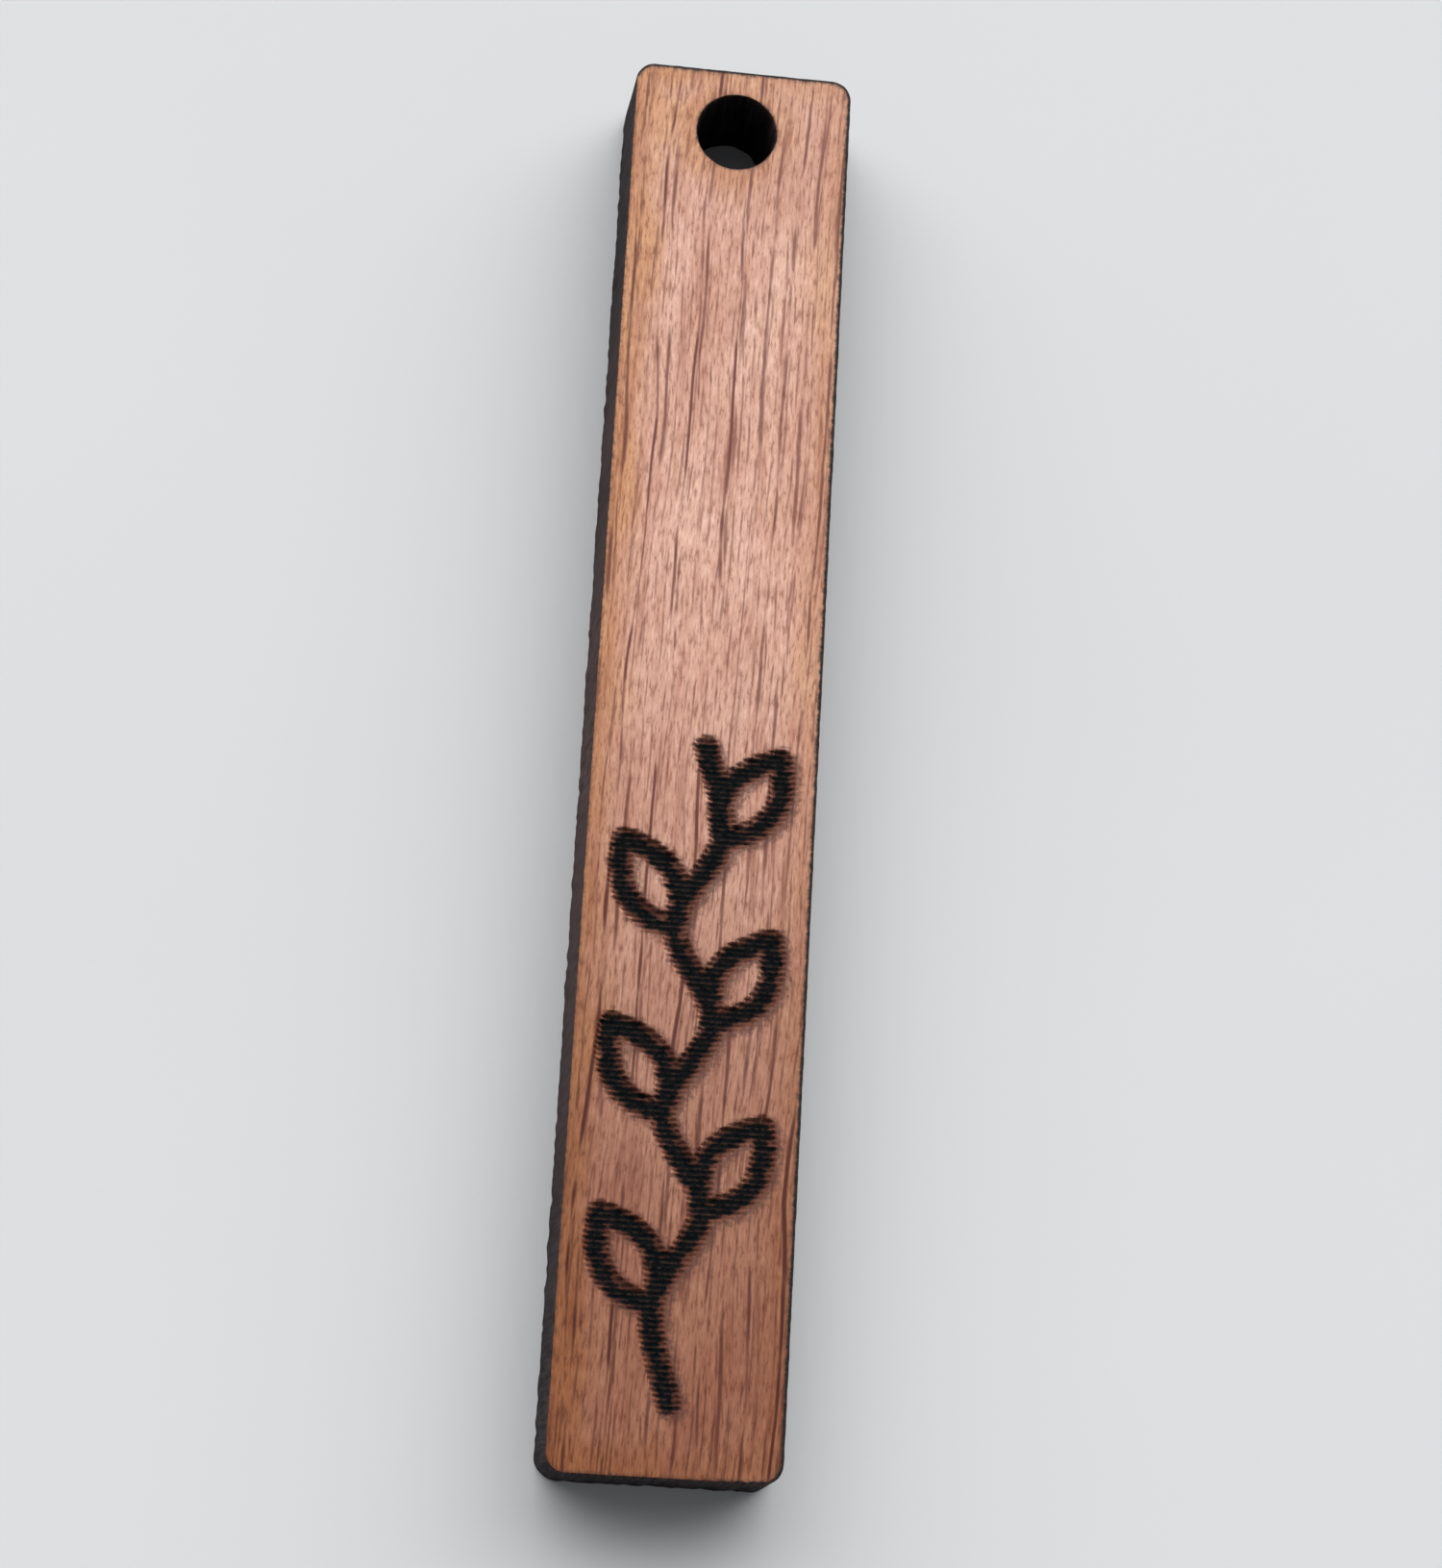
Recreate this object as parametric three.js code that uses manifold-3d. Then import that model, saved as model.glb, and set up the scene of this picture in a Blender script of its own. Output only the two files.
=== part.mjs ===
// A wooden keychain tag: a slim bar cut by laser from veneered board. It has rounded corners, a
// round hole for a split ring near one end, and a trailing vine burnt into the front face at the
// other end. The cut spreads as it goes down, so the back is a little larger than the front.
// Millimetres, +Z up. The tag lies on its back, its length runs along Y with the ring hole
// towards +Y, and the origin is at the centre of its underside.

import * as THREE from "three";
import { mergeVertices } from "three/addons/utils/BufferGeometryUtils.js";
import Module from "manifold-3d";

// Board. The length, width and corner radius are those of the front face.
const tagLength = 81;
const tagWidth = 12.7;
const cornerRadius = 1.15;
const faceVeneer = 0.6;
const coreThickness = 5.15;
const backVeneer = 0.6;
const cutFlare = 0.24; // how far each side stands out at the back, beyond the front face

// Ring hole, through all three layers. The diameter is that at the front face.
const holeDiameter = 4.64;
const holeEndWeb = 1.53; // wood between the hole and the end of the front face
const holeSideShift = -0.28; // the hole sits a little to one side of the centre line

// Burnt vine
const burnDepth = 0.25;
const strokeWidth = 1.2;
const vineLength = 37.2;
const vineEndMargin = 3.3; // bare wood between the vine's foot and the end of the tag
const vineSideMargin = 1.5; // bare wood between the leaf tips and the long edges
const vineBends = 6; // a leaf grows out of each
const vineSway = 1.2; // how far the stem swings to each side of the centre line
const leafRise = 4.7; // how far a leaf reaches along the tag
const leafBelly = 1.45; // how far a leaf's sides bow out from the line between its ends

// Roundness of the curves
const cornerSteps = 10;
const holeSteps = 48;
const stemSteps = 56;
const leafSteps = 10;
const strokeEndSteps = 8;

const holeRadius = holeDiameter / 2;
const strokeRadius = strokeWidth / 2;
const cornerX = tagWidth / 2 - cornerRadius;
const cornerY = tagLength / 2 - cornerRadius;
const coreFloor = backVeneer;
const faceFloor = coreFloor + coreThickness;
const faceTop = faceFloor + faceVeneer;
const holeY = tagLength / 2 - holeEndWeb - holeRadius;
const vineFootY = -tagLength / 2 + vineEndMargin + strokeRadius;
const vineTipY = vineFootY + vineLength - strokeWidth;
const leafTipX = tagWidth / 2 - vineSideMargin - strokeRadius;

const wasm = await Module();
wasm.setup();

/** The closed solid of a three.js geometry. */
function solidOf(geometry) {
  const bare = geometry.clone();
  bare.deleteAttribute("normal");
  bare.deleteAttribute("uv");
  const merged = mergeVertices(bare, 1e-4);
  return new wasm.Manifold(
    new wasm.Mesh({
      numProp: 3,
      vertProperties: merged.attributes.position.array,
      triVerts: new Uint32Array(merged.index.array),
    }),
  );
}

/** The three.js geometry of a solid. */
function geometryOf(solid) {
  const mesh = solid.getMesh();
  const geometry = new THREE.BufferGeometry();
  geometry.setAttribute("position", new THREE.BufferAttribute(mesh.vertProperties, 3));
  geometry.setIndex(new THREE.BufferAttribute(mesh.triVerts, 1));
  geometry.computeVertexNormals();
  return geometry;
}

/** How far the cut has spread beyond its outline at the front face, at a height z. */
function flareAt(z) {
  return (cutFlare * (faceTop - z)) / faceTop;
}

/** The front face's outline, a rectangle with round corners. */
function faceOutline() {
  const outline = new THREE.Shape();
  outline.absarc(cornerX, cornerY, cornerRadius, 0, Math.PI / 2);
  outline.absarc(-cornerX, cornerY, cornerRadius, Math.PI / 2, Math.PI);
  outline.absarc(-cornerX, -cornerY, cornerRadius, Math.PI, Math.PI * 1.5);
  outline.absarc(cornerX, -cornerY, cornerRadius, Math.PI * 1.5, Math.PI * 2);
  return outline;
}

/** Moves each point on a board's sides straight out by the cut's spread at its height. */
function flareSides(board) {
  const place = board.attributes.position;
  for (let i = 0; i < place.count; i += 1) {
    const x = place.getX(i);
    const y = place.getY(i);
    const nearX = THREE.MathUtils.clamp(x, -cornerX, cornerX);
    const nearY = THREE.MathUtils.clamp(y, -cornerY, cornerY);
    const grow = 1 + flareAt(place.getZ(i)) / cornerRadius;
    place.setXY(i, nearX + (x - nearX) * grow, nearY + (y - nearY) * grow);
  }
}

/** The ring hole's plug, which narrows downwards and runs past both faces. */
function ringPlug() {
  const past = 1;
  const height = faceTop + past * 2;
  const topRadius = holeRadius - flareAt(faceTop + past);
  const lowRadius = holeRadius - flareAt(-past);
  const plug = new THREE.CylinderGeometry(topRadius, lowRadius, height, holeSteps);
  plug.rotateX(Math.PI / 2);
  plug.translate(holeSideShift, holeY, faceTop / 2);
  return solidOf(plug);
}

/** One layer of the board between two heights, with its ring hole. */
function layer(floor, top) {
  const board = new THREE.ExtrudeGeometry(faceOutline(), {
    depth: top - floor,
    bevelEnabled: false,
    curveSegments: cornerSteps,
  });
  board.translate(0, 0, floor);
  flareSides(board);
  return solidOf(board).subtract(ringPlug());
}

/** The point at a stroke's half width from a centre point, in the direction of an angle. */
function strokeRim(centre, angle) {
  return new THREE.Vector2(
    centre.x + strokeRadius * Math.cos(angle),
    centre.y + strokeRadius * Math.sin(angle),
  );
}

/** The half circle that ends a stroke, from an angle on anticlockwise. */
function strokeEnd(centre, angle) {
  const rim = [];
  for (let i = 0; i <= strokeEndSteps; i += 1) {
    rim.push(strokeRim(centre, angle + (Math.PI * i) / strokeEndSteps));
  }
  return rim;
}

/** The wood that one stroke along a curve burns away, with round ends. */
function strokeSlug(curve, steps) {
  const line = curve.getSpacedPoints(steps);
  const left = line.map((_, i) => curve.getTangentAt(i / steps).angle() + Math.PI / 2);
  const right = left.map((angle) => angle - Math.PI);
  const rising = [];
  const falling = [];
  for (let i = 1; i < steps; i += 1) {
    rising.push(strokeRim(line[i], right[i]));
    falling.unshift(strokeRim(line[i], left[i]));
  }
  const foot = strokeEnd(line[0], left[0]);
  const tip = strokeEnd(line[steps], right[steps]);
  const slug = new THREE.ExtrudeGeometry(new THREE.Shape([...foot, ...rising, ...tip, ...falling]), {
    depth: faceVeneer,
    bevelEnabled: false,
  });
  slug.translate(0, 0, faceTop - burnDepth);
  return solidOf(slug);
}

/** The points where the stem starts, bends and ends. It bends to the left and right in turn. */
function stemPoints() {
  const pitch = (vineTipY - vineFootY) / (vineBends + 1);
  const points = [new THREE.Vector2(0, vineFootY)];
  for (let i = 1; i <= vineBends; i += 1) {
    const side = i % 2 ? -1 : 1;
    points.push(new THREE.Vector2(side * vineSway, vineFootY + i * pitch));
  }
  points.push(new THREE.Vector2(0, vineTipY));
  return points;
}

/** The two bowed sides of a leaf, which grows out of a bend towards the tip of the vine. */
function leafSides(bend) {
  const tip = new THREE.Vector2(Math.sign(bend.x) * leafTipX, bend.y + leafRise);
  const along = tip.clone().sub(bend).normalize();
  const across = new THREE.Vector2(-along.y, along.x);
  return [-1, 1].map((way) => {
    const bow = bend.clone().lerp(tip, 0.45);
    bow.addScaledVector(across, way * leafBelly * 2);
    return new THREE.QuadraticBezierCurve(bend, bow, tip);
  });
}

/** Everything that the vine's strokes burn away, as one solid. */
function vine() {
  const points = stemPoints();
  let burnt = strokeSlug(new THREE.SplineCurve(points), stemSteps);
  for (const side of points.slice(1, -1).flatMap(leafSides)) {
    burnt = burnt.add(strokeSlug(side, leafSteps));
  }
  return burnt;
}

function wood(colour, roughness) {
  return new THREE.MeshStandardMaterial({ color: colour, roughness, metalness: 0 });
}

function part(name, solid, material) {
  const mesh = new THREE.Mesh(geometryOf(solid), material);
  mesh.name = name;
  return mesh;
}

const tag = new THREE.Group();
tag.name = "keychain_tag";
tag.add(part("back_veneer", layer(0, coreFloor), wood(0xa9775f, 0.62)));
tag.add(part("core_board", layer(coreFloor, faceFloor), wood(0x35302e, 0.85)));
tag.add(part("face_veneer", layer(faceFloor, faceTop).subtract(vine()), wood(0xb08068, 0.6)));

export default tag;
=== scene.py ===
"""The looks of a wooden keychain tag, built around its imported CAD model.

The three layers of the board are made again as fine meshes with the CAD model's sizes. The
laser's cut gets its striations and softened edges, and the burnt vine gets its ribbed floor.
"""

import math

import bpy
import numpy as np
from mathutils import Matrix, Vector
from mathutils.geometry import delaunay_2d_cdt


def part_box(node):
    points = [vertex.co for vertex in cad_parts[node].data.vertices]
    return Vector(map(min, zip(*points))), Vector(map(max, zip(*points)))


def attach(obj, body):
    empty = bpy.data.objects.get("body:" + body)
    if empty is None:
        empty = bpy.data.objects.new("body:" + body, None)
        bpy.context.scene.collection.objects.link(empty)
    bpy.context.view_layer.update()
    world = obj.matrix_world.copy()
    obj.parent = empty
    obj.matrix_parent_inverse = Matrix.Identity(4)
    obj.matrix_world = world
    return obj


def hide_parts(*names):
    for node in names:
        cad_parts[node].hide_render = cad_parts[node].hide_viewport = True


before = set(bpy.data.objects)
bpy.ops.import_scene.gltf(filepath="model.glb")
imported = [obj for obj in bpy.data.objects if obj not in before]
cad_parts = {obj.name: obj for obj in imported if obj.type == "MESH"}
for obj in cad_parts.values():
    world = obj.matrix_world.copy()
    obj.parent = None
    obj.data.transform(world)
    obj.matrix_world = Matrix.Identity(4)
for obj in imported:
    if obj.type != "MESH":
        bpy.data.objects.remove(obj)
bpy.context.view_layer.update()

# Millimetres, turned into metres where a mesh or the camera is made.
MM = 0.001

# The grooves of the burnt vine. They have a rib at each step that the burning tool takes.
rib_pitch = 0.3
rib_share = 0.06  # a rib's height, as a share of the groove's depth
burn_softness = 0.2  # how wide the slope at a groove's side is
burn_raggedness = 0.05
dull_margin = 0.14  # how far beyond a stroke's outline its duller material reaches
smoke_drift = (0.28, -0.18)  # the draught over the board shifts the smoke stain

# Fineness of the meshes
wall_step = 0.1
hole_points = 160
across_step = 0.12
along_step = 0.2
rib_step = rib_pitch / 4
back_step = along_step * 4
vine_surround = 1.0  # the rows of points stay fine as far as this past the vine
cap_clearance = 0.05  # between a rounded edge and the first points of the face's grid
flush = 0.001
smooth_angle = 50  # degrees

# What the laser leaves on a cut wall
edge_round = 0.06
round_shares = [0, 0.08, 0.25, 0.55]  # levels on a rounded edge, closer together at the face
striation_width = 0.35
striation_depth = 0.022
striation_at_front = 0.3  # the share of that depth where the beam enters
striation_lag = 0.7  # how far a striation trails along the wall by the time it reaches the back


# ---- Sizes of the CAD model, in mm ------------------------------------------------------------

def flat_loops(node, height):
    """The closed outlines of a CAD node's level surface at a height, as arrays of points."""
    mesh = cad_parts[node].data
    mesh.calc_loop_triangles()
    places = np.array([v.co for v in mesh.vertices], float) / MM
    corners = np.array([t.vertices for t in mesh.loop_triangles])
    points, index = np.unique(places.round(4), axis=0, return_inverse=True)
    corners = index.reshape(-1)[corners]
    level = corners[(abs(points[corners][:, :, 2] - height) < flush).all(axis=1)]
    sides = {(t[i], t[(i + 1) % 3]) for t in level.tolist() for i in range(3)}
    following = {a: b for a, b in sides if (b, a) not in sides}
    loops = []
    while following:
        start, point = following.popitem()
        loop = [start]
        while point != start:
            loop.append(point)
            point = following.pop(point)
        loops.append(points[loop][:, :2])
    return loops


def levels_of(node):
    """The heights of a CAD node's underside and top."""
    low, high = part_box(node)
    return low.z / MM, high.z / MM


core_floor, face_floor = levels_of("core_board")
face_top = levels_of("face_veneer")[1]
front_loops = sorted(flat_loops("face_veneer", face_top), key=lambda loop: np.ptp(loop[:, 1]))
front_outline = front_loops.pop()
ring_hole = max(front_loops, key=lambda loop: loop[:, 1].min())
vine_loops = [loop for loop in front_loops if loop is not ring_hole]

half_width, half_length = front_outline.max(axis=0)
end_points = front_outline[front_outline[:, 1] > half_length - flush]
corner_radius = half_width - end_points[:, 0].max()
hole_centre = (ring_hole.max(axis=0) + ring_hole.min(axis=0)) / 2
hole_radius = np.hypot(*(ring_hole - hole_centre).T).max()
cut_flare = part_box("back_veneer")[1].x / MM - half_width
face_heights = np.array([v.co.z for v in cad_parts["face_veneer"].data.vertices]) / MM
burn_depth = face_top - face_heights[face_heights > face_floor + flush].min()
vine_foot = min(loop[:, 1].min() for loop in vine_loops)
vine_tip = max(loop[:, 1].max() for loop in vine_loops)


# ---- Distances on the front face --------------------------------------------------------------

def distance_to_edge(points):
    """How far each point is from the face's outline or from the hole, whichever is nearer."""
    past = abs(points) - (np.array([half_width, half_length]) - corner_radius)
    outside = np.hypot(*np.maximum(past, 0).T) + np.minimum(past.max(axis=1), 0)
    from_hole = np.hypot(*(points - hole_centre).T) - hole_radius
    return np.minimum(corner_radius - outside, from_hole)


def distance_to_vine(points):
    """How far each point is from the vine's outline, below zero inside the strokes."""
    nearest = np.full(len(points), np.inf)
    inside = np.zeros(len(points), bool)
    for loop in vine_loops:
        for start, end in zip(loop, np.roll(loop, -1, axis=0)):
            way = end - start
            from_start = points - start
            share = np.clip(from_start @ way / (way @ way), 0, 1)
            nearest = np.minimum(nearest, np.hypot(*(from_start - np.outer(share, way)).T))
            if way[1] != 0:
                spans = (start[1] > points[:, 1]) != (end[1] > points[:, 1])
                crossing = from_start[:, 0] < way[0] * from_start[:, 1] / way[1]
                inside ^= spans & crossing
    return np.where(inside, -nearest, nearest)


# ---- Meshes -----------------------------------------------------------------------------------

def outline_ring():
    """Points round the front face's outline, anticlockwise, and the way out at each."""
    points, outward = [], []
    inner = np.array([half_width, half_length]) - corner_radius
    arc_points = round(corner_radius * math.pi / 2 / wall_step)
    for quarter, side in enumerate([(1, 1), (-1, 1), (-1, -1), (1, -1)]):
        angles = (quarter + np.arange(arc_points + 1) / arc_points) * math.pi / 2
        ways = np.column_stack([np.cos(angles), np.sin(angles)])
        points.extend(inner * side + corner_radius * ways)
        outward.extend(ways)
        straight = 2 * (inner[0] if quarter % 2 == 0 else inner[1])
        count = round(straight / wall_step)
        heading = np.array([-ways[-1][1], ways[-1][0]])
        points.extend(points[-1] + np.outer(np.arange(1, count) / count * straight, heading))
        outward.extend([ways[-1]] * (count - 1))
    return np.array(points), np.array(outward)


def hole_ring():
    """Points round the hole, clockwise, and the way out of the wood at each."""
    angles = -np.arange(hole_points) / hole_points * math.tau
    ways = np.column_stack([np.cos(angles), np.sin(angles)])
    return hole_centre + hole_radius * ways, -ways


def striations(count, seed):
    """A rough profile round a cut wall, one value a point, which joins up with itself."""
    rough = np.random.default_rng(seed).normal(size=count)
    reach = striation_width / wall_step
    frequency = np.fft.rfftfreq(count)
    smooth = np.fft.irfft(np.fft.rfft(rough) * np.exp(-((frequency * reach * 2) ** 2)), count)
    return smooth / smooth.std()


def rounding(z):
    """How far the softened edges at the front and the back draw the wall in at a height."""
    to_end = min(z, face_top - z)
    if to_end >= edge_round:
        return 0.0
    return edge_round - math.sqrt(edge_round**2 - (edge_round - to_end) ** 2)


def wall(ring, profile, z):
    """One ring of points of a cut wall at a height. The striations lag behind as they go down."""
    points, outward = ring
    depth = (face_top - z) / face_top
    place = np.arange(len(points)) + striation_lag / wall_step * depth**2
    rough = np.interp(place, np.arange(len(points)), profile, period=len(points))
    growth = striation_at_front + (1 - striation_at_front) * depth
    out = cut_flare * depth - rounding(z) + striation_depth * growth * rough
    return np.column_stack([points + outward * out[:, None], np.full(len(points), z)])


def cap(rims, inner, facing_up):
    """Triangles that fill the level area between the outer and inner rims, through the points."""
    flat = np.vstack([*rims, inner])[:, :2]
    edges, start = [], 0
    for rim in rims:
        count = len(rim)
        edges += [(start + i, start + (i + 1) % count) for i in range(count)]
        start += count
    made = delaunay_2d_cdt([Vector(p) for p in flat], edges, [], 0, 1e-9, True)
    source = np.array([origin[0] for origin in made[3]])
    triangles = np.sort(source[np.array(made[2])], axis=1)
    a, b, c = flat[triangles].transpose(1, 0, 2)
    backward = np.cross(b - a, c - a) < 0
    # The wood is to the left of both rims, so a triangle that runs backward along one is outside.
    rim_of = np.repeat([0, 1, 2], [len(rims[0]), len(rims[1]), len(inner)])[triangles]
    on_one_rim = (rim_of == rim_of[:, :1]).all(axis=1) & (rim_of[:, 0] < 2)
    triangles[backward] = triangles[backward][:, ::-1]
    triangles = triangles[~(on_one_rim & backward)]
    return triangles if facing_up else triangles[:, ::-1]


def grid(rows):
    """Points on straight rows across the face, clear of its edges."""
    across = np.linspace(-half_width, half_width, round(2 * half_width / across_step) + 1)
    points = np.array(np.meshgrid(across, rows)).reshape(2, -1).T
    return points[distance_to_edge(points) > edge_round + cap_clearance]


def front_face_points():
    """Points over the front face, with the ribbed grooves of the vine pressed into them."""
    fine_start = vine_foot - vine_surround
    fine_end = vine_tip + vine_surround
    rows = np.concatenate([
        np.arange(-half_length, fine_start, along_step),
        np.arange(fine_start, fine_end, rib_step),
        np.arange(fine_end, half_length, along_step),
    ])
    points = grid(rows)
    ribs = np.sin(points[:, 1] / rib_pitch * math.tau)
    inside = burn_raggedness * ribs - distance_to_vine(points)
    share = np.clip(inside / burn_softness + 0.5, 0, 1)
    groove = share**2 * (3 - 2 * share) * burn_depth * (1 - rib_share + rib_share * ribs)
    return np.column_stack([points, face_top - groove])


def back_face_points():
    """Points over the flat back."""
    points = grid(np.arange(-half_length, half_length, back_step))
    return np.column_stack([points, np.zeros(len(points))])


def remember(mesh, name, values):
    """Keeps a distance in mm at each of a mesh's points, for its material to read."""
    stored = mesh.attributes.new(name, "FLOAT", "POINT")
    stored.data.foreach_set("value", values.astype(np.float32))


outline = outline_ring()
hole = hole_ring()
outline_points = len(outline[0])
points_a_level = outline_points + hole_points
profiles = [striations(outline_points, 3), striations(hole_points, 8)]
no_points = np.zeros((0, 3))


def wall_faces(level_count):
    """The quads of the outer wall and of the hole's wall, between each level and the next."""
    quads = []
    for start, count in ((0, outline_points), (outline_points, hole_points)):
        here = start + np.arange(count)
        ahead = start + (np.arange(count) + 1) % count
        quad = np.column_stack([here, ahead, ahead + points_a_level, here + points_a_level])
        quads += [quad + i * points_a_level for i in range(level_count - 1)]
    return np.vstack(quads)


def layer_shape(heights, top_points, bottom_points):
    """One layer's points, and the faces of its walls, its top and its bottom."""
    rings = list(zip((outline, hole), profiles))
    levels = [[wall(ring, profile, z) for ring, profile in rings] for z in heights]
    points = np.vstack([*(ring for level in levels for ring in level), top_points, bottom_points])
    top_level = (len(heights) - 1) * points_a_level
    top = cap(levels[-1], top_points, True) + top_level
    bottom = cap(levels[0], bottom_points, False)
    past_top = top_level + len(top_points)
    bottom = np.where(bottom < points_a_level, bottom, bottom + past_top)
    return points, wall_faces(len(heights)), top, bottom


def layer(name, node, heights, materials, top_points=no_points, bottom_points=no_points):
    """One layer of the board as a closed mesh, in the place of its CAD node.

    The materials are those of its flat faces, its walls and, on the front face, its strokes.
    """
    points, walls, top, bottom = layer_shape(heights, top_points, bottom_points)
    mesh = bpy.data.meshes.new(name)
    faces = [*walls.tolist(), *top.tolist(), *bottom.tolist()]
    mesh.from_pydata((points * MM).tolist(), [], faces)
    remember(mesh, "edge", distance_to_edge(points[:, :2]))
    kinds = np.repeat([1, 0, 0], [len(walls), len(top), len(bottom)]).astype(np.int32)
    if len(top_points):
        remember(mesh, "burn", distance_to_vine(points[:, :2]))
        remember(mesh, "smoke", distance_to_vine(points[:, :2] - smoke_drift))
        middles = points[top].mean(axis=1)[:, :2]
        kinds[len(walls) : len(walls) + len(top)][distance_to_vine(middles) < dull_margin] = 2
    for material in materials:
        mesh.materials.append(material)
    mesh.polygons.foreach_set("material_index", kinds)
    mesh.polygons.foreach_set("use_smooth", np.ones(len(faces), bool))
    mesh.set_sharp_from_angle(angle=math.radians(smooth_angle))
    mesh.update()

    piece = bpy.data.objects.new(name, mesh)
    bpy.context.scene.collection.objects.link(piece)
    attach(piece, "root")
    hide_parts(node)


# ---- Materials --------------------------------------------------------------------------------

# Linear colours of the wood and of what the laser does to it
pale_wood = (0.81, 0.475, 0.36)
rosy_wood = (0.65, 0.33, 0.235)
dark_fleck = (0.31, 0.105, 0.062)
vessel_brown = (0.17, 0.042, 0.028)
# The next tint is painted sheen: it darkens the face towards the vine's foot, so that the hole end
# looks paler
sheen_fade_tint = (0.46, 0.335, 0.26)
amber_tint = (0.80, 0.66, 0.44)
scorch_brown = (0.10, 0.045, 0.026)
smoke_brown = (0.105, 0.038, 0.026)
burn_brown = (0.035, 0.017, 0.013)
soot_black = (0.0012, 0.0030, 0.0040)
soot_grey = (0.008, 0.008, 0.009)
rib_brown = (0.050, 0.032, 0.024)
fleck_gleam = (1.2, 1.3, 1.36)

# Linear colours of the cut walls
wall_black = (0.016, 0.015, 0.017)
wall_grey = (0.040, 0.031, 0.034)
wall_brown = (0.112, 0.067, 0.063)
streak_shade = (0.5, 0.5, 0.52)
crust_brown = (0.085, 0.060, 0.058)
veneer_brown = (0.10, 0.045, 0.030)

# Linear colours of the floor's paint and of the light round it
paint_dark = (0.72, 0.73, 0.735)
paint_light = (0.76, 0.77, 0.775)
dim_sky = (0.155, 0.162, 0.17)
bright_sky = (3.08, 3.10, 3.11)
backdrop_grey = (0.72, 0.73, 0.74)

# Where each burn begins to show and where it is at its full, in mm from the cut edge
amber_reach = (2.7, 0.3)
scorch_reach = (0.42, 0.06)
char_reach = (0.24, 0.10)
left_char_cutback = 0.14  # how much less far scorch and char reach on the left half, below the top end

# The same from a stroke's outline, below zero inside the stroke
smoke_reach = (0.45, -0.10)
fringe_reach = (0.24, -0.10)
brown_reach = (-0.02, -0.24)
stroke_char_reach = (-0.12, -0.36)

# The same along the length, for the painted sheen that darkens the wood towards the vine's end, and for
# the browner middle walls
sheen_fade_reach = (14.0, -37.0)
brown_wall_reach = (36.0, -4.0)

# The shader's specular level
wood_gloss = 0.3
stroke_gloss = 0.04
wall_gloss = 0.08
paint_gloss = 0.2


class Nodes:
    """The nodes of a material or a world, with a short call for each kind that is used."""

    def __init__(self, owner):
        owner.use_nodes = True
        self.tree = owner.node_tree
        self.tree.nodes.clear()

    def node(self, kind, inputs, **settings):
        made = self.tree.nodes.new("ShaderNode" + kind)
        for name, value in settings.items():
            setattr(made, name, value)
        for name, value in inputs.items():
            if isinstance(value, bpy.types.NodeSocket):
                self.tree.links.new(value, made.inputs[name])
            else:
                made.inputs[name].default_value = value
        return made

    def math(self, operation, a, b=0.0):
        return self.node("Math", {0: a, 1: b}, operation=operation).outputs[0]

    def add(self, a, b):
        return self.math("ADD", a, b)

    def times(self, a, b):
        return self.math("MULTIPLY", a, b)

    def less(self, a, b):
        return self.math("SUBTRACT", a, b)

    def fade(self, value, start, end):
        """0 where the value is at start, 1 where it is at end, and smooth between them."""
        inputs = {"Value": value, "From Min": start, "From Max": end}
        if start > end:
            inputs.update({"From Min": end, "From Max": start, "To Min": 1.0, "To Max": 0.0})
        return self.node("MapRange", inputs, interpolation_type="SMOOTHSTEP").outputs[0]

    def mix(self, share, a, b, blend="MIX"):
        a, b = (value if isinstance(value, bpy.types.NodeSocket) else (*value, 1) for value in (a, b))
        return self.node("Mix", {0: share, 6: a, 7: b}, data_type="RGBA", blend_type=blend).outputs[2]

    def tint(self, share, colour, by):
        """The colour, multiplied by another as far as the share says."""
        return self.mix(share, colour, by, "MULTIPLY")

    def place(self):
        """The point on the object, in mm, as its x, y and z."""
        where = self.node("TexCoord", {}).outputs["Object"]
        scaled = self.node("VectorMath", {0: where, "Scale": 1 / MM}, operation="SCALE").outputs[0]
        return self.node("SeparateXYZ", {0: scaled}).outputs

    def noise(self, x, y, z=0.0, detail=2.0, roughness=0.5):
        """A noise about 0, mostly within 0.2 of it."""
        where = self.node("CombineXYZ", {0: x, 1: y, 2: z}).outputs[0]
        inputs = {"Vector": where, "Scale": 1.0, "Detail": detail, "Roughness": roughness}
        return self.add(self.node("TexNoise", inputs).outputs[0], -0.5)

    def lines(self, across):
        """How far a place is from the nearest of the lines, and a number of that line's own."""
        made = self.node("TexVoronoi", {"W": across, "Scale": 1.0}, voronoi_dimensions="1D")
        return made.outputs["Distance"], self.node("SeparateXYZ", {0: made.outputs["Color"]}).outputs[0]

    def stored(self, name):
        return self.node("Attribute", {}, attribute_name=name).outputs["Fac"]

    def surface(self, colour, roughness, height, relief, specular):
        """The surface itself. Relief is the height pattern's depth in mm."""
        bump = self.node("Bump", {"Height": height, "Distance": relief * MM}).outputs[0]
        inputs = {"Base Color": colour, "Roughness": roughness, "Normal": bump}
        made = self.node("BsdfPrincipled", {**inputs, "Specular IOR Level": specular})
        self.node("OutputMaterial", {"Surface": made.outputs[0]})


def vessels(s, lean, y, per_mm, width, dash, seed):
    """Dark vessel lines along the grain: how much of one there is at each place, 0 to 1."""
    wander = s.noise(s.times(lean, 0.3), s.times(y, 0.07), seed, detail=2.0)
    across = s.add(s.times(s.add(lean, s.times(wander, 1.1)), per_mm), seed * 10)
    distance, own = s.lines(across)
    broken = s.noise(s.times(own, 50.0), s.times(y, dash), seed, detail=2.0, roughness=0.6)
    swell = s.fade(broken, -0.14, 0.08)
    reach = width * per_mm
    core = s.fade(s.less(distance, s.times(swell, reach)), reach * 0.4, -reach * 0.6)
    return s.times(core, s.times(swell, s.add(s.times(own, 0.4), 0.75)))


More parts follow.
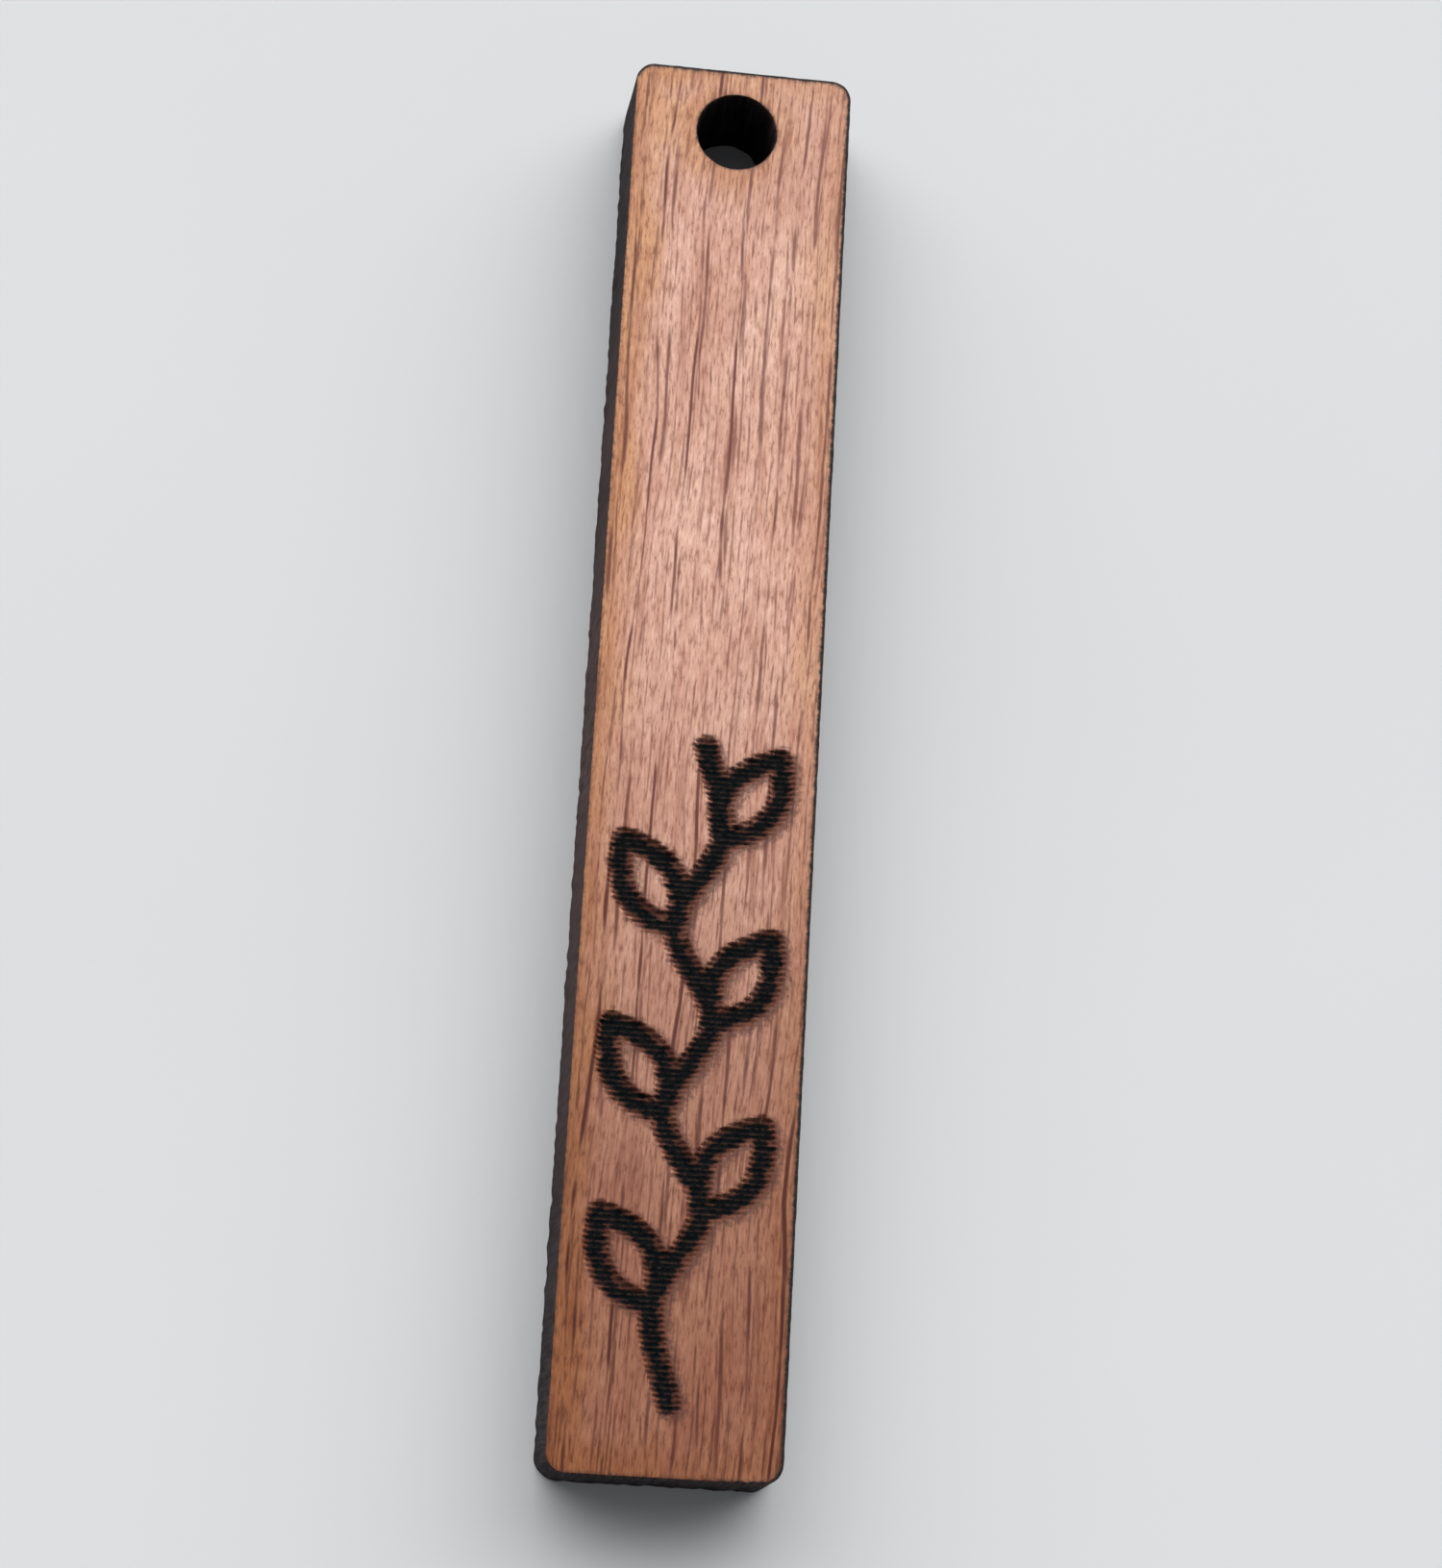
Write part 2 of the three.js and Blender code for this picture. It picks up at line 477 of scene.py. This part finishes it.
def grain(s, x, y, seed):
    """The bare wood's colour, and its cloudiness, flecks and bold vessels, which are used again."""
    bend = s.noise(s.times(x, 0.1), s.times(y, 0.05), seed, detail=1.0)
    lean = s.add(s.add(x, s.times(y, -0.03)), s.times(bend, 1.2))
    bold = vessels(s, lean, y, per_mm=0.85, width=0.105, dash=0.13, seed=seed + 1)
    fine = vessels(s, lean, y, per_mm=1.9, width=0.065, dash=0.30, seed=seed + 2)
    fleck = s.noise(s.times(lean, 6.2), s.times(y, 1.0), seed + 3, detail=4.0, roughness=0.7)
    streak = s.noise(s.times(lean, 1.7), s.times(y, 0.10), seed + 4, detail=3.0, roughness=0.6)
    cloud = s.noise(s.times(x, 0.30), s.times(y, 0.13), seed + 5)
    colour = s.mix(s.fade(s.add(cloud, s.times(streak, 0.6)), -0.22, 0.22), pale_wood, rosy_wood)
    colour = s.mix(s.times(s.fade(fleck, 0.0, 0.14), 0.7), colour, dark_fleck)
    colour = s.tint(s.fade(fleck, -0.03, -0.14), colour, fleck_gleam)
    colour = s.mix(s.times(s.fade(streak, 0.04, 0.2), 0.35), colour, dark_fleck)
    colour = s.mix(s.times(fine, 0.6), colour, vessel_brown)
    colour = s.mix(s.times(bold, 0.9), colour, vessel_brown)
    return colour, cloud, fleck, bold


def edge_burns(s, x, y, colour, cloud, rag):
    """The colour with what the laser's cut does beside it, and how charred each place is.

    Scorch and char reach less far onto the left half below the top end, so only the right side and the
    top end have their full char.
    """
    edge = s.stored("edge")
    one_sided = s.add(0.6, s.times(s.fade(x, 4.0, -half_width), 0.4))
    amber = s.times(s.fade(s.add(edge, s.times(cloud, 5)), *amber_reach), one_sided)
    colour = s.tint(amber, colour, amber_tint)
    away_from_right_and_top = s.times(s.fade(x, half_width, 0.0), s.fade(y, half_length, half_length - 1.5))
    char_cutback = s.times(away_from_right_and_top, left_char_cutback)
    scorched = s.add(s.add(edge, s.times(rag, 0.6)), char_cutback)
    colour = s.mix(s.times(s.fade(scorched, *scorch_reach), 0.8), colour, scorch_brown)
    char = s.fade(s.add(s.add(edge, s.times(rag, 0.25)), char_cutback), *char_reach)
    return colour, char


def vine_burns(s, x, y, colour, seed):
    """The colour with the vine's smoke and brown fringe, how charred it is, and its paler ribs."""
    row = s.math("FLOOR", s.add(s.times(y, 1 / rib_pitch), 0.25))
    jitter = s.noise(s.times(x, 0.9), s.times(row, 3.7), seed + 7, detail=1.0)
    rib = s.math("SINE", s.times(y, math.tau / rib_pitch))
    blot = s.noise(s.times(x, 3.2), s.times(y, 3.2), seed + 8, detail=3.0, roughness=0.65)
    frayed = s.add(s.add(s.times(jitter, 0.9), s.times(blot, 0.5)), s.times(rib, -0.07))
    smoke = s.fade(s.add(s.stored("smoke"), s.times(blot, 1.2)), *smoke_reach)
    colour = s.mix(s.times(smoke, 0.8), colour, smoke_brown)
    burn = s.add(s.stored("burn"), frayed)
    colour = s.mix(s.times(s.fade(burn, *fringe_reach), 0.8), colour, smoke_brown)
    colour = s.mix(s.fade(burn, *brown_reach), colour, burn_brown)
    on_rib = s.times(s.fade(rib, 0.2, -0.9), s.fade(blot, -0.10, 0.12))
    return colour, s.fade(burn, *stroke_char_reach), on_rib


def wood(name, seed, burnt, gloss):
    """Pink-brown hardwood with its grain along Y, scorched where it meets a cut edge.

    The burnt side also has the vine's char and smoke, and is painted darker towards the vine's foot, a
    painted sheen that leaves the hole end paler.
    """
    material = bpy.data.materials.new(name)
    s = Nodes(material)
    x, y, _ = s.place()
    colour, cloud, fleck, bold = grain(s, x, y, seed)
    if burnt:
        # Painted sheen: the face is tinted darker towards the vine's foot, so that the hole end looks
        # paler as a sheen would make it
        sheen_fade = s.fade(s.add(y, s.times(cloud, 16)), *sheen_fade_reach)
        colour = s.tint(sheen_fade, colour, sheen_fade_tint)

    rag = s.noise(s.times(x, 2.4), s.times(y, 2.4), seed + 6, detail=3.0, roughness=0.65)
    colour, char = edge_burns(s, x, y, colour, cloud, rag)
    soot = s.mix(s.fade(rag, -0.12, 0.22), soot_black, soot_grey)
    if burnt:
        colour, stroke_char, on_rib = vine_burns(s, x, y, colour, seed)
        char = s.math("MAXIMUM", char, stroke_char)
        soot = s.mix(s.times(on_rib, 0.6), soot, rib_brown)
    colour = s.mix(char, colour, soot)

    roughness = s.add(s.times(char, 0.25), s.add(s.times(fleck, 0.25), 0.46))
    pits = s.add(s.times(fleck, -0.7), s.times(bold, -0.5))
    height = s.add(pits, s.times(rag, s.times(char, 1.2)))
    s.surface(colour, roughness, height, relief=0.05, specular=gloss)
    return material


def charred(name):
    """A laser-cut wall: matt char with fine streaks down it, browner in the thin veneers.

    The char is browner along the middle of the tag, and a dark glue line shows at each veneer.
    """
    material = bpy.data.materials.new(name)
    s = Nodes(material)
    x, y, z = s.place()
    streak = s.noise(s.times(x, 4.0), s.times(y, 4.0), s.times(z, 0.25), detail=3.0, roughness=0.6)
    crust = s.noise(s.times(x, 9.0), s.times(y, 9.0), s.times(z, 7.0), detail=3.0, roughness=0.7)
    patch = s.noise(s.times(x, 0.3), s.times(y, 0.12), 0.0)
    ragged = s.add(s.times(patch, 60.0), s.times(streak, 90.0))
    from_middle = s.add(s.math("ABSOLUTE", y), ragged)
    colour = s.mix(s.fade(streak, -0.15, 0.2), wall_black, wall_grey)
    colour = s.mix(s.times(s.fade(from_middle, *brown_wall_reach), 0.7), colour, wall_brown)
    colour = s.tint(s.fade(streak, 0.05, -0.12), colour, streak_shade)
    colour = s.mix(s.times(s.fade(crust, 0.0, 0.25), 0.5), colour, crust_brown)
    near_face = s.fade(z, face_floor - 0.3, face_top)
    near_back = s.fade(z, core_floor + 0.3, 0.0)
    veneer = s.times(s.math("MAXIMUM", near_face, near_back), s.fade(streak, -0.2, 0.1))
    colour = s.mix(s.times(veneer, 0.5), colour, veneer_brown)
    to_core, to_face = (s.math("ABSOLUTE", s.less(z, joint)) for joint in (core_floor, face_floor))
    glue = s.fade(s.math("MINIMUM", to_core, to_face), 0.07, 0.02)
    colour = s.mix(s.times(glue, 0.7), colour, soot_black)
    height = s.add(streak, s.times(crust, 0.5))
    s.surface(colour, 0.9, height, relief=0.05, specular=wall_gloss)
    return material


def rise(start, end, shares):
    """The heights at some shares of the way from one height to another."""
    return [start + (end - start) * share for share in shares]


back_levels = [*rise(0.0, edge_round, round_shares), *np.linspace(edge_round, core_floor, 5)]
core_levels = np.linspace(core_floor, face_floor, 16)
face_rounding = rise(face_top, face_top - edge_round, round_shares)[::-1]
face_levels = [*np.linspace(face_floor, face_top - edge_round, 5), *face_rounding]

face_wood = wood("face_wood", 1.0, burnt=True, gloss=wood_gloss)
burnt_wood = wood("burnt_wood", 1.0, burnt=True, gloss=stroke_gloss)
back_wood = wood("back_wood", 40.0, burnt=False, gloss=wood_gloss)
char = charred("charred_edge")
layer("back_veneer_board", "back_veneer", back_levels, [back_wood, char],
      bottom_points=back_face_points())
layer("charred_core_board", "core_board", core_levels, [char, char])
layer("face_veneer_board", "face_veneer", face_levels, [face_wood, char, burnt_wood],
      top_points=front_face_points())


# ---- Stage, light and camera ------------------------------------------------------------------

def floor():
    """A wide, plain, pale painted surface under the tag."""
    reach = 3.0  # metres
    corners = [(-reach, -reach, 0), (reach, -reach, 0), (reach, reach, 0), (-reach, reach, 0)]
    mesh = bpy.data.meshes.new("floor")
    mesh.from_pydata(corners, [], [(0, 1, 2, 3)])
    paint = bpy.data.materials.new("floor_paint")
    s = Nodes(paint)
    x, y, _ = s.place()
    shade = s.noise(s.times(x, 0.02), s.times(y, 0.02))
    colour = s.mix(s.add(shade, 0.5), paint_dark, paint_light)
    s.surface(colour, 0.8, shade, relief=0.001, specular=paint_gloss)
    mesh.materials.append(paint)
    piece = bpy.data.objects.new("floor", mesh)
    bpy.context.scene.collection.objects.link(piece)


def sky():
    """Soft daylight from the side that the ring hole points to, before a plain pale backdrop."""
    world = bpy.data.worlds.new("sky")
    s = Nodes(world)
    way = s.node("TexCoord", {}).outputs["Generated"]
    towards_hole_end = s.node("SeparateXYZ", {0: way}).outputs[1]
    daylight = s.mix(s.fade(towards_hole_end, 0.1, 0.6), dim_sky, bright_sky)
    light = s.node("Background", {"Color": daylight}).outputs[0]
    backdrop = s.node("Background", {"Color": (*backdrop_grey, 1)}).outputs[0]
    seen = s.node("LightPath", {}).outputs["Is Camera Ray"]
    shown = s.node("MixShader", {0: seen, 1: light, 2: backdrop}).outputs[0]
    s.node("OutputWorld", {"Surface": shown})
    bpy.context.scene.world = world


def camera():
    """Looks down at the tag from above its lower left, tilted fifteen degrees off the vertical."""
    view = bpy.data.cameras.new("camera")
    view.sensor_width = 36.0
    view.lens = 72.96
    view.clip_start = 0.01
    seen_from = bpy.data.objects.new("camera", view)
    seen_from.location = Vector((-15.64, -45.56, 176.78)) * MM
    seen_from.rotation_euler = [math.radians(a) for a in (13.745, -6.341, 3.156)]
    bpy.context.scene.collection.objects.link(seen_from)
    bpy.context.scene.camera = seen_from


floor()
sky()
camera()
bpy.context.scene.view_settings.view_transform = "Standard"
